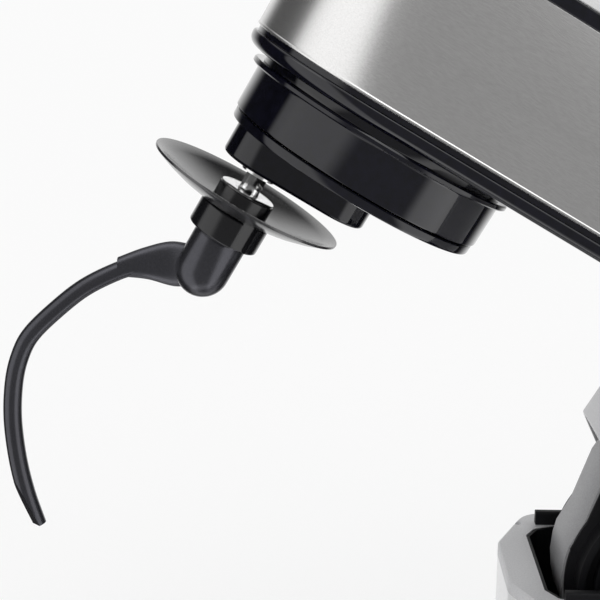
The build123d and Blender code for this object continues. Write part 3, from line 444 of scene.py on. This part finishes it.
class Graph:
    """A material's node tree, with one method that adds any node."""

    def __init__(self, name: str) -> None:
        """Starts an empty material of that name."""
        self.material = bpy.data.materials.new(name)
        self.material.use_nodes = True
        self.tree = self.material.node_tree
        self.tree.nodes.clear()

    def node(self, kind: str, settings: dict | None = None, inputs: dict | None = None,
             output: str | int = 0) -> Signal:
        """Adds a node.

        Args:
            kind: the node's type.
            settings: its own properties, set first.
            inputs: values or signals by socket name or number.
            output: which output is wanted.

        Returns:
            The chosen output.
        """
        node = self.tree.nodes.new(kind)
        for key, value in (settings or {}).items():
            setattr(node, key, value)
        for key, value in (inputs or {}).items():
            if isinstance(value, Signal):
                self.tree.links.new(value.socket, node.inputs[key])
            else:
                node.inputs[key].default_value = value
        return Signal(self, node.outputs[output])

    def place(self, scale: tuple[float, float, float] = (1, 1, 1), lean: float = 0.0) -> Signal:
        """Gives object coordinates in metres.

        Args:
            scale: their stretch along each axis.
            lean: the angle about y that they are leant back by first, in radians.

        Returns:
            The coordinates.
        """
        where = self.node("ShaderNodeTexCoord", output="Object")
        if lean:
            where = self.node("ShaderNodeMapping", {}, {"Vector": where, "Rotation": (0.0, -lean, 0.0)})
        return self.node("ShaderNodeMapping", {}, {"Vector": where, "Scale": scale})

    def noise(self, scale: float, detail: float, stretch: tuple[float, float, float] = (1, 1, 1),
              lean: float = 0.0) -> Signal:
        """Gives a noise from 0 to 1.

        Args:
            scale: its cells to the metre.
            detail: its octaves.
            stretch: the coordinates' stretch along each axis.
            lean: the angle about y that they are leant back by, in radians.

        Returns:
            The noise.
        """
        where = self.place(stretch, lean)
        return self.node("ShaderNodeTexNoise", {}, {"Vector": where, "Scale": scale, "Detail": detail})

    def bump(self, height: Signal, strength: float, distance: float) -> Signal:
        """Returns a normal that is bumped by a height."""
        return self.node("ShaderNodeBump", {}, {"Height": height, "Strength": strength, "Distance": distance})

    def mix(self, factor: Signal, first: Colour, second: Colour) -> Signal:
        """Returns the colour between two at a factor."""
        return self.node("ShaderNodeMix", {"data_type": "RGBA"},
                         {0: factor, 6: (*first, 1.0), 7: (*second, 1.0)}, 2)

    def close(self, shader: Signal) -> bpy.types.Material:
        """Puts a shader on the surface.

        Args:
            shader: the shader.

        Returns:
            The finished material.
        """
        end = self.tree.nodes.new("ShaderNodeOutputMaterial")
        self.tree.links.new(shader.socket, end.inputs["Surface"])
        return self.material


class Grain(Enum):
    """The direction of a surface's small structure."""

    EVEN = "even"
    BRUSHED = "brushed"


@dataclass(frozen=True)
class Finish:
    """One surface finish.

    Its colour runs from dark to light over the grain, and its roughness wanders by the spread. Cells are
    counted to the metre, and relief is the grain's bump strength.
    """

    dark: Colour
    light: Colour
    roughness: float
    spread: float = 0.04
    metallic: float = 0.0
    coat: float = 0.0
    grain: Grain = Grain.EVEN
    cells: float = 900.0
    relief: float = 0.02
    specular: float = 0.5

    def build(self, name: str) -> bpy.types.Material:
        """Builds the finish.

        Args:
            name: the material's name.

        Returns:
            The material.
        """
        graph = Graph(name)
        brushed = self.grain is Grain.BRUSHED
        stretch = (0.12, 1.0, 1.0) if brushed else (1, 1, 1)
        fine = graph.noise(self.cells, 3.0, stretch, TILT if brushed else 0.0)
        broad = graph.noise(14.0, 2.0)
        tone = fine * 0.7 + broad * 0.3
        roughness = broad * self.spread + (self.roughness - self.spread / 2) + fine * (self.spread / 2)
        inputs = {"Base Color": graph.mix(tone.step(0.3, 0.7), self.dark, self.light),
                  "Roughness": roughness, "Metallic": self.metallic, "Coat Weight": self.coat,
                  "Coat Roughness": 0.03, "Specular IOR Level": self.specular}
        inputs["Normal"] = graph.bump(fine, self.relief, 0.0004)
        return graph.close(graph.node("ShaderNodeBsdfPrincipled", {}, inputs))


class Finishes:
    """Every finish by its slot in the record, each built once."""

    TABLE = {
        "silver_paint": Finish((0.80, 0.80, 0.805), (0.88, 0.88, 0.885), 0.34, metallic=0.3, cells=1400,
                               relief=0.03),
        "arm_paint": Finish((0.26, 0.26, 0.268), (0.34, 0.34, 0.348), 0.42, metallic=0.35, cells=1400,
                            relief=0.04),
        # painted shade: a darker copy of the silver paint, for the neck cover under the head
        "neck_silver_painted_shade": Finish((0.54, 0.54, 0.55), (0.62, 0.62, 0.63), 0.4, metallic=0.3, cells=1400,
                              relief=0.03),
        # painted shade: a darker, duller copy of the silver paint, for the top ring's upward face
        "ring_silver_painted_shade": Finish((0.54, 0.54, 0.55), (0.62, 0.62, 0.63), 0.45, metallic=0.2, cells=1400,
                              relief=0.03, specular=0.3),
        "steel": Finish((0.66, 0.655, 0.65), (0.74, 0.735, 0.73), 0.23, spread=0.05, metallic=0.92,
                        grain=Grain.BRUSHED, cells=2600, relief=0.02),
        "gloss_black": Finish((0.002, 0.002, 0.004), (0.004, 0.004, 0.009), 0.05, spread=0.03, cells=300,
                              relief=0.004),
        "matt_black": Finish((0.004, 0.004, 0.005), (0.008, 0.008, 0.010), 0.5, cells=2400, relief=0.06,
                             specular=0.2),
        "black_plastic": Finish((0.004, 0.004, 0.005), (0.008, 0.008, 0.010), 0.14, cells=2400, relief=0.06),
        "knob_black": Finish((0.012, 0.012, 0.014), (0.02, 0.02, 0.022), 0.22, cells=1200, relief=0.02),
        "dish_black": Finish((0.020, 0.020, 0.022), (0.035, 0.035, 0.037), 0.16, cells=500, relief=0.01,
                             specular=0.9),
        "hook_coating": Finish((0.045, 0.045, 0.052), (0.075, 0.075, 0.086), 0.22, metallic=0.7, cells=3000,
                               relief=0.04),
        "rubber": Finish((0.012, 0.012, 0.012), (0.022, 0.022, 0.022), 0.75, cells=1600, relief=0.08),
        "bright_steel": Finish((0.66, 0.66, 0.66), (0.78, 0.78, 0.78), 0.12, metallic=1.0, cells=900,
                               relief=0.01),
        "zinc_steel": Finish((0.45, 0.46, 0.47), (0.6, 0.61, 0.62), 0.35, metallic=1.0, cells=900,
                             relief=0.03),
        "cast_alloy": Finish((0.42, 0.42, 0.43), (0.56, 0.56, 0.57), 0.55, metallic=0.9, cells=700,
                             relief=0.15),
        "gear_nylon": Finish((0.62, 0.60, 0.54), (0.72, 0.70, 0.64), 0.42, cells=900, relief=0.03),
        "bronze": Finish((0.42, 0.28, 0.14), (0.55, 0.38, 0.2), 0.45, metallic=0.9, cells=1500, relief=0.05),
        "board_green": Finish((0.02, 0.14, 0.06), (0.04, 0.2, 0.09), 0.4, cells=600, relief=0.02),
        "inlet_rubber": Finish((0.012, 0.012, 0.012), (0.02, 0.02, 0.02), 0.5, cells=1600, relief=0.05),
    }
    _made: dict[str, bpy.types.Material] = {}

    @classmethod
    def of(cls, slot: str) -> bpy.types.Material:
        """Gives the material of a slot, built on first use.

        Args:
            slot: the finish's key in the table.

        Returns:
            The material.
        """
        if slot not in cls._made:
            cls._made[slot] = cls.TABLE[slot].build(slot)
        return cls._made[slot]


# ------------------------------------------------------------------ studio


@dataclass
class Studio:
    """The camera, the floor and the light."""

    lens: float = 73.7
    eye: tuple[float, float, float] = (62.5, -498.4, 418.6)
    yaw: float = 2.0
    pitch: float = 13.8
    camera_side: float = 0.28
    left_panel: float = 1.0
    right_panel: float = 1.3
    panel_start: tuple[float, float] = (0.48, 0.74)
    panel_end: tuple[float, float] = (1.54, 1.66)

    def camera(self, stand: Axes) -> None:
        """Sets the camera on the speed knob's side, looking down at the head.

        Args:
            stand: the stand's frame.
        """
        data = bpy.data.cameras.new("camera")
        data.lens = self.lens
        data.sensor_width = 36.0
        data.clip_start = 0.01
        data.clip_end = 1000.0
        camera = bpy.data.objects.new("camera", data)
        camera.location = stand.at(*self.eye)
        camera.rotation_euler = (math.radians(90 - self.pitch), 0, math.radians(self.yaw))
        bpy.context.scene.collection.objects.link(camera)
        bpy.context.scene.camera = camera

    def floor(self) -> None:
        """Lays the pale floor."""
        part = bmesh.new()
        bmesh.ops.create_grid(part, x_segments=1, y_segments=1, size=300.0)
        mesh = bpy.data.meshes.new("floor")
        part.to_mesh(mesh)
        part.free()
        graph = Graph("floor_white")
        inputs = {"Base Color": (0.96, 0.96, 0.96, 1.0), "Roughness": 0.9, "Specular IOR Level": 0.0}
        mesh.materials.append(graph.close(graph.node("ShaderNodeBsdfPrincipled", {}, inputs)))
        floor = bpy.data.objects.new("floor", mesh)
        floor.location.z = -0.0005
        floor.visible_glossy = False
        bpy.context.scene.collection.objects.link(floor)

    def tent(self) -> None:
        """Hangs the light tent that polished surfaces reflect: dim cloth with lit panels."""
        part = bmesh.new()
        bmesh.ops.create_uvsphere(part, u_segments=48, v_segments=24, radius=4.0)
        bmesh.ops.reverse_faces(part, faces=part.faces)
        mesh = bpy.data.meshes.new("tent")
        part.to_mesh(mesh)
        part.free()
        graph = Graph("tent_cloth")
        split = graph.node("ShaderNodeSeparateXYZ", {}, {0: graph.place((0.25, 0.25, 0.25))})
        glow = self.tent_glow(*(Signal(graph, output) for output in split.socket.node.outputs))
        mesh.materials.append(graph.close(graph.node("ShaderNodeEmission", {}, {"Color": glow})))
        tent = bpy.data.objects.new("tent", mesh)
        tent.visible_camera = tent.visible_diffuse = tent.visible_shadow = False
        tent.visible_transmission = tent.visible_volume_scatter = False
        bpy.context.scene.collection.objects.link(tent)

    def tent_glow(self, x: Signal, y: Signal, z: Signal) -> Signal:
        """Gives the cloth's brightness in one direction.

        The camera's side is dim, a lit panel stands on each side of it, dark flags stand beyond the panels,
        and the back, the top and the bottom are bright.

        Args:
            x: the direction's part to the mixer's back.
            y: its part away from the camera.
            z: its part upwards.

        Returns:
            The brightness.
        """
        turn = x.graph.node("ShaderNodeMath", {"operation": "ARCTAN2"}, {0: x, 1: y * -1.0})
        left = turn * -1.0
        left_panel = left.step(*self.panel_start) * (1.0 - left.step(*self.panel_end)) * self.left_panel
        right_panel = turn.step(*self.panel_start) * (1.0 - turn.step(*self.panel_end)) * self.right_panel
        camera_side = (1.0 - y.step(-0.2, 0.0)) * self.camera_side
        back = y.step(0.66, 0.9)
        top = z.step(0.66, 0.88) * 0.8
        below = (z * -1.0).step(0.7, 0.9) * 0.8
        return 0.02 + camera_side + left_panel + right_panel + back + top + below

    def light(self) -> None:
        """Lights everything evenly."""
        world = bpy.data.worlds.new("studio")
        bpy.context.scene.world = world
        world.use_nodes = True
        background = world.node_tree.nodes["Background"]
        background.inputs["Color"].default_value = (1, 1, 1, 1)
        background.inputs["Strength"].default_value = 1.0
        bpy.context.scene.view_settings.view_transform = "Standard"

    def build(self, stand: Axes) -> None:
        """Sets up the whole studio."""
        self.camera(stand)
        self.floor()
        self.tent()
        self.light()


# ------------------------------------------------------------------ the mixer


@dataclass
class HeadShells:
    """The tray, the steel band, the trim and the domed cover of the tilting head."""

    axes: Axes
    half: float = 60.0
    nose: float = -4.6
    back: float = 242.0
    corner: float = 34.0
    tray: Point2 = (23.5, 31.5)
    steel_top: float = 91.5
    trim_top: float = 97.0
    cover_top: float = 121.0
    neck_hole: Point2 = (153.0, 236.0)
    neck_half: float = 46.0
    shaft_hole: float = 12.0

    def plan(self, inset: float) -> list[Point2]:
        """Draws the head's outline from above.

        Args:
            inset: how far it is drawn in.

        Returns:
            Its points.
        """
        side, radius = self.half - self.corner, self.corner - inset
        outline = arc((self.back - self.corner, -side), radius, -90, 0, 12)
        outline += arc((self.back - self.corner, side), radius, 0, 90, 12)
        return outline + arc((self.nose, 0), self.half - inset, 90, 270, 72)

    def lower_tray(self) -> None:
        """Builds the gloss tray under the steel."""
        low, high = self.tray
        turns = [math.radians(angle) for angle in range(0, 91, 10)]
        edge = [(4 - 4 * math.sin(turn), low + 4 - 4 * math.cos(turn)) for turn in turns]
        shoulder = [(0.0, high - 3.3), (0.1, high - 2.8), (0.35, high - 2.4)]
        shoulder += [(0.75, high - 2.15), (1.2, high - 2.1)]
        profile = [(12.0, low)] + edge + shoulder + [(1.45, high - 2.0), (1.5, high), (2.6, high)]
        profile += [(2.6, low + 2.6), (12.0, low + 2.6)]
        shape = Shape().wall(self.axes, self.plan, profile)
        (front, rear), side = self.neck_hole, self.neck_half
        neck = [(front, -side), (rear, -side), (rear, side), (front, side)]
        shaft = arc((0, 0), self.shaft_hole, 0, 350, 35)
        shape.plate(self.axes.at, [self.plan(11.0), shaft, neck], low + 0.02, low + 2.5)
        shape.piece("tray_shell", "head", "gloss_black", ["lower_tray"])

    def steel(self) -> None:
        """Builds the brushed band with its rolled lower edge."""
        low, high = self.tray[1], self.steel_top
        profile = [(1.3, low), (0.5, low), (0.12, low + 0.35), (0.12, low + 0.95), (0.42, low + 1.35)]
        profile += [(0.3, low + 1.8), (0.3, high - 0.5), (0.5, high), (1.3, high)]
        Shape().wall(self.axes, self.plan, profile).piece("steel_band", "head", "steel", ["steel_shell"])

    def trim(self) -> None:
        """Builds the gloss line between the steel and the cover."""
        low, high = self.steel_top, self.trim_top
        profile = [(4.5, low), (0.4, low), (0.0, low + 0.4), (0.0, high - 0.9)]
        profile += [(0.3, high - 0.3), (0.9, high), (4.5, high)]
        Shape().wall(self.axes, self.plan, profile).piece("trim_band", "head", "gloss_black", ["top_trim"])

    def cover(self) -> None:
        """Builds the domed lid."""
        low, high = self.trim_top, self.cover_top
        profile = [(1.3, low), (1.0, low + 0.4)]
        for angle in range(0, 91, 9):
            turn = math.radians(angle)
            profile.append((18 - 17 * math.cos(turn), high - 17 + 17 * math.sin(turn)))
        profile += [(22.0, high), (28.0, high)]
        shape = Shape().wall(self.axes, self.plan, profile, closed=False)
        shape.piece("lid_dome", "head", "silver_paint", ["top_cover"])

    def build(self) -> None:
        """Builds every shell of the head."""
        self.lower_tray()
        self.steel()
        self.trim()
        self.cover()


@dataclass
class PlanetHub:
    """The hub under the head and the carrier that turns in it."""

    axes: Axes
    radius: float = 56.0
    lip: float = 59.0
    carrier: float = 55.2
    carrier_low: float = -4.6
    tool: float = -34.0
    boss: float = 17.5

    def hub(self) -> None:
        """Builds the skirt and its lip."""
        wall, lip = self.radius - 3, self.lip
        profile = [(wall, 0.4), (wall + 0.4, 0.0), (self.radius - 0.7, 0.0), (self.radius - 0.2, 0.2)]
        profile += [(self.radius, 0.7), (self.radius, 17.2), (self.radius + 0.3, 17.8)]
        profile += [(self.radius + 1, 18.0)]
        profile += [(lip - 0.6, 18.0), (lip, 18.5), (lip, 19.8), (lip - 0.5, 20.4), (55.2, 20.4)]
        profile += [(55.0, 20.8), (55.0, 23.5), (16.0, 23.5), (16.0, 18.4), (wall, 18.2)]
        shape = Shape().lathe(self.axes, profile, segments=160)
        shape.piece("hub_skirt", "head", "gloss_black", ["hub_housing"])

    def planet(self) -> None:
        """Builds the carrier's disc and the long boss under it."""
        edge, low = self.carrier, self.carrier_low
        profile = [(6.2, -0.6), (edge - 0.5, -0.6), (edge, -1.1), (edge, low + 0.9)]
        profile += [(edge - 0.3, low + 0.25), (edge - 1.0, low), (6.2, low)]
        shape = Shape().lathe(self.axes, profile, segments=160)
        sides = [(0.0, low + 0.3), (0.0, -17.4)]
        for angle in range(15, 91, 15):
            turn = math.radians(angle)
            sides.append((1.5 - 1.5 * math.cos(turn), -17.5 - 1.5 * math.sin(turn)))

        def outline(inset: float) -> list[Point2]:
            """Returns the boss's plan at an inset."""
            return stadium(self.tool, -3.9, self.boss - inset)

        shape.wall(self.axes, outline, sides + [(8.0, -19.0)], closed=False)
        shape.piece("planet_cover", "carrier", "gloss_black", ["planet_carrier"])

    def build(self) -> None:
        """Builds both."""
        self.hub()
        self.planet()


HOOK_PATH = [
    (-24.0, 7.5, -81.5), (-30.6, 5.9, -88.2), (-39.3, 4.6, -101.5), (-45.4, 3.2, -117.0),
    (-49.0, 1.8, -130.5), (-48.6, 1.2, -141.0), (-45.4, 0.7, -152.5), (-38.4, 0.2, -167.0),
    (-28.2, 0.0, -182.0), (-17.4, 0.0, -194.6), (-6.3, 0.0, -205.2),
]
HOOK_CUT_AT = (-20.5, 0.0, -196.5)
# Each section's centre, then its half height and half thickness, from inside the boss out to the bar.
WING_SECTIONS = [
    (-2.0, 5.0, -67.5, 8.0, 5.0),
    (-11.5, 7.5, -73.5, 9.8, 4.6),
    (-22.0, 7.6, -79.5, 6.9, 4.2),
    (-31.0, 6.3, -86.3, 4.2, 4.0),
]


@dataclass
class DoughTool:
    """The splash disc, its collars and the dough hook."""

    axes: Axes
    disc: float = 42.4
    boss: float = 11.5
    bar: float = 3.95

    def splash(self) -> None:
        """Builds the shallow dish."""
        rim = self.disc
        profile = [(8.6, -38.0), (13.0, -38.0), (21.0, -36.35), (30.0, -34.0), (36.6, -31.7)]
        profile += [(rim - 0.6, -29.45), (rim - 0.15, -29.5), (rim, -29.8), (rim - 0.1, -30.5)]
        profile += [(rim - 0.8, -30.9)]
        profile += [(36.6, -33.1), (30.0, -35.4), (21.0, -37.7), (13.0, -39.2), (8.6, -39.2)]
        shape = Shape().lathe(self.axes, profile, segments=128)
        shape.piece("splash_dish", "tool", "dish_black", ["splash_disc"], sharp=50.0)

    def collars(self) -> None:
        """Builds the black collar over the dish and the bright washer that tops it."""
        profile = [(4.7, -38.0), (13.0, -38.0), (13.0, -37.3), (12.6, -36.9), (12.3, -36.3), (12.3, -30.7),
                   (12.1, -30.2), (11.7, -30.0), (4.7, -30.0)]
        Shape().lathe(self.axes, profile).piece("disc_collar", "tool", "black_plastic", ["upper_collar"])
        washer = [(4.7, -30.0), (11.7, -30.0), (11.9, -29.8), (11.9, -29.4)]
        washer += [(11.6, -29.2), (5.0, -29.2), (4.7, -29.4)]
        Shape().lathe(self.axes, washer).piece("collar_ring", "tool", "bright_steel", ["collar_washer"])

    def hook(self) -> None:
        """Builds the boss, the wing and the bent bar with its slanting end."""
        end = -79.0
        profile = [(0.0, end)]
        for angle in range(6, 91, 6):
            turn = math.radians(angle)
            profile.append((self.boss * math.sin(turn), end + self.boss * (1 - math.cos(turn))))
        profile += [(self.boss, -52.2), (self.boss - 0.15, -52.0), (self.boss - 0.15, -51.6)]
        profile += [(self.boss, -51.4), (self.boss, -51.1), (0.0, -51.1)]
        shape = Shape().lathe(self.axes, profile, closed=False)
        shape.loft(self.wing())
        steps = 8 * (len(HOOK_PATH) - 1)
        bends = [blended(HOOK_PATH, step / 8) for step in range(steps + 1)]
        rod = Shape().loft(swept(self.axes, bends, self.bar)).mesh
        cut = bmesh.ops.bisect_plane(rod, geom=rod.verts[:] + rod.edges[:] + rod.faces[:],
                                     plane_co=self.axes.at(*HOOK_CUT_AT), clear_outer=True,
                                     plane_no=self.axes.x * -0.45 + self.axes.y * -0.6 + self.axes.z * -0.66)
        edges = [item for item in cut["geom_cut"] if isinstance(item, bmesh.types.BMEdge)]
        bmesh.ops.holes_fill(rod, edges=edges, sides=0)
        shape.add(rod)
        shape.piece("hook_bar", "tool", "hook_coating", ["dough_hook"], sharp=40.0)

    def wing(self) -> list[Ring]:
        """Returns the wing's rings, from inside the boss out to the bar."""
        lean = math.radians(125)
        rings = []
        for part in range(31):
            x, y, z, tall, thick = blended(WING_SECTIONS, part / 10)
            ring = []
            for step in range(40):
                angle = 2 * math.pi * step / 40
                up, across = tall * math.cos(angle), thick * math.sin(angle)
                ring.append(self.axes.at(x + up * math.cos(lean), y + across, z + up * math.sin(lean)))
            rings.append(ring)
        return rings

    def build(self) -> None:
        """Builds the tool's pieces."""
        self.splash()
        self.collars()
        self.hook()


def blended(rows: Sequence[Sequence[float]], place: float) -> list[float]:
    """Reads a smooth curve through rows of numbers.

    Args:
        rows: the numbers, one row for each point that the curve goes through.
        place: where to read it, counted in rows.

    Returns:
        The numbers there.
    """
    index = min(int(place), len(rows) - 2)
    part = place - index
    before, low, high, after = (rows[max(0, min(len(rows) - 1, index + step))] for step in (-1, 0, 1, 2))
    result = []
    for a, b, c, d in zip(before, low, high, after):
        bend = (2 * a - 5 * b + 4 * c - d) * part ** 2 + (3 * b - a - 3 * c + d) * part ** 3
        result.append(0.5 * (2 * b + (c - a) * part + bend))
    return result


@dataclass
class KnobRibs:
    """Grip ribs round the speed knob, set out by a node group."""

    centre: Vector
    radius: float = 20.6
    count: int = 36
    rib: Point2 = (0.9, 5.5)

    def group(self) -> bpy.types.NodeTree:
        """Returns the node group that repeats a rib round a circle."""
        group = bpy.data.node_groups.new("knob_ribs", "GeometryNodeTree")
        inputs = {"Geometry": "Geometry", "Count": "Int", "Radius": "Float", "Finish": "Material"}
        for name, kind in inputs.items():
            group.interface.new_socket(name, in_out="INPUT", socket_type="NodeSocket" + kind)
        group.interface.new_socket("Geometry", in_out="OUTPUT", socket_type="NodeSocketGeometry")
        nodes, links = group.nodes, group.links
        start = nodes.new("NodeGroupInput")
        end = nodes.new("NodeGroupOutput")
        circle = nodes.new("GeometryNodeMeshCircle")
        spread = nodes.new("GeometryNodeInstanceOnPoints")
        real = nodes.new("GeometryNodeRealizeInstances")
        place = nodes.new("GeometryNodeInputPosition")
        align = nodes.new("FunctionNodeAlignRotationToVector")
        finish = nodes.new("GeometryNodeSetMaterial")
        align.axis = "X"
        links.new(start.outputs["Count"], circle.inputs["Vertices"])
        links.new(start.outputs["Radius"], circle.inputs["Radius"])
        links.new(circle.outputs["Mesh"], spread.inputs["Points"])
        links.new(start.outputs["Geometry"], spread.inputs["Instance"])
        links.new(place.outputs["Position"], align.inputs["Vector"])
        links.new(align.outputs["Rotation"], spread.inputs["Rotation"])
        links.new(spread.outputs["Instances"], real.inputs["Geometry"])
        links.new(real.outputs["Geometry"], finish.inputs["Geometry"])
        links.new(start.outputs["Finish"], finish.inputs["Material"])
        links.new(finish.outputs["Geometry"], end.inputs["Geometry"])
        return group

    def build(self) -> None:
        """Builds the ribs as one mesh on the knob."""
        wide, deep = self.rib
        outline = rounded([(-0.7, -wide / 2), (0.7, -wide / 2), (0.7, wide / 2), (-0.7, wide / 2)], 0.35, 3)
        seed = Shape().plate(lambda x, y, h: Vector((x, y, h)) * MM, [outline], -deep / 2, deep / 2, 0.25)
        mesh = bpy.data.meshes.new("rib")
        seed.mesh.to_mesh(mesh)
        seed.mesh.free()
        holder = bpy.data.objects.new("rib", mesh)
        bpy.context.scene.collection.objects.link(holder)
        modifier = holder.modifiers.new("ribs", "NODES")
        modifier.node_group = self.group()
        values = {"Count": self.count, "Radius": self.radius * MM, "Finish": Finishes.of("knob_black")}
        for item in modifier.node_group.interface.items_tree:
            if item.in_out == "INPUT" and item.name in values:
                modifier[item.identifier] = values[item.name]
        bpy.context.view_layer.update()
        ribs = bpy.data.meshes.new_from_object(holder.evaluated_get(bpy.context.evaluated_depsgraph_get()))
        bpy.data.objects.remove(holder)
        for vertex in ribs.vertices:
            x, y, z = vertex.co
            vertex.co = self.centre + Vector((x, -z, y))
        dress(ribs, "knob_ribs", "knob", "knob_black", [])


# Nodes whose finish differs from their slot's, and then the width of the round on each eased node's edges.
# The neck's and the ring's looks are darker copies of the silver paint, as painted shade.
LOOKS = {"neck_cover": "neck_silver_painted_shade", "top_ring": "ring_silver_painted_shade", "column_liner": "matt_black",
         "arm_side_covers": "matt_black"}
EASED = {"neck_cover": 0.8, "top_ring": 0.5, "column_shell": 0.4, "column_liner": 0.5, "tilt_arm": 0.5,
         "arm_side_covers": 0.3, "lower_collar": 0.25, "base_shell": 0.3, "speed_knob": 0.3,
         "knob_bezel": 0.3, "release_lever": 0.4, "bowl_seat": 0.3, "tool_spindle": 0.2}


def main() -> None:
    """Builds every piece in order."""
    logging.basicConfig(level=logging.INFO, format="%(name)s: %(message)s")
    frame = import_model()
    joints = {joint["name"]: joint for joint in frame["joints"]}
    seat_low, seat_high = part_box("bowl_seat")
    stand = Axes(Vector(((seat_low.x + seat_high.x) / 2, 0, 0)), Vector((0, 0, 1)))
    slots = {part["node"]: part["material_slot"] for part in frame["record"]["subparts"]}
    for name, node in frame["nodes"].items():
        node.data.materials.clear()
        node.data.materials.append(Finishes.of(slots[name]))
    head = Axes(stand.at(HEAD_BACK, 0, HEAD_UP), Vector((math.sin(TILT), 0, math.cos(TILT))))
    HeadShells(head).build()
    PlanetHub(head).build()
    DoughTool(head.moved(-34, 0, 0)).build()
    knob_low, knob_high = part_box("speed_knob")
    middle = (knob_low + knob_high) / 2
    KnobRibs(Vector((middle.x, knob_low.y + 7.5 * MM, middle.z))).build()
    for node, width in EASED.items():
        eased(node, frame["nodes"][node]["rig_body"], slots[node], width)
    Studio().build(stand)


if __name__ == "__main__":
    main()
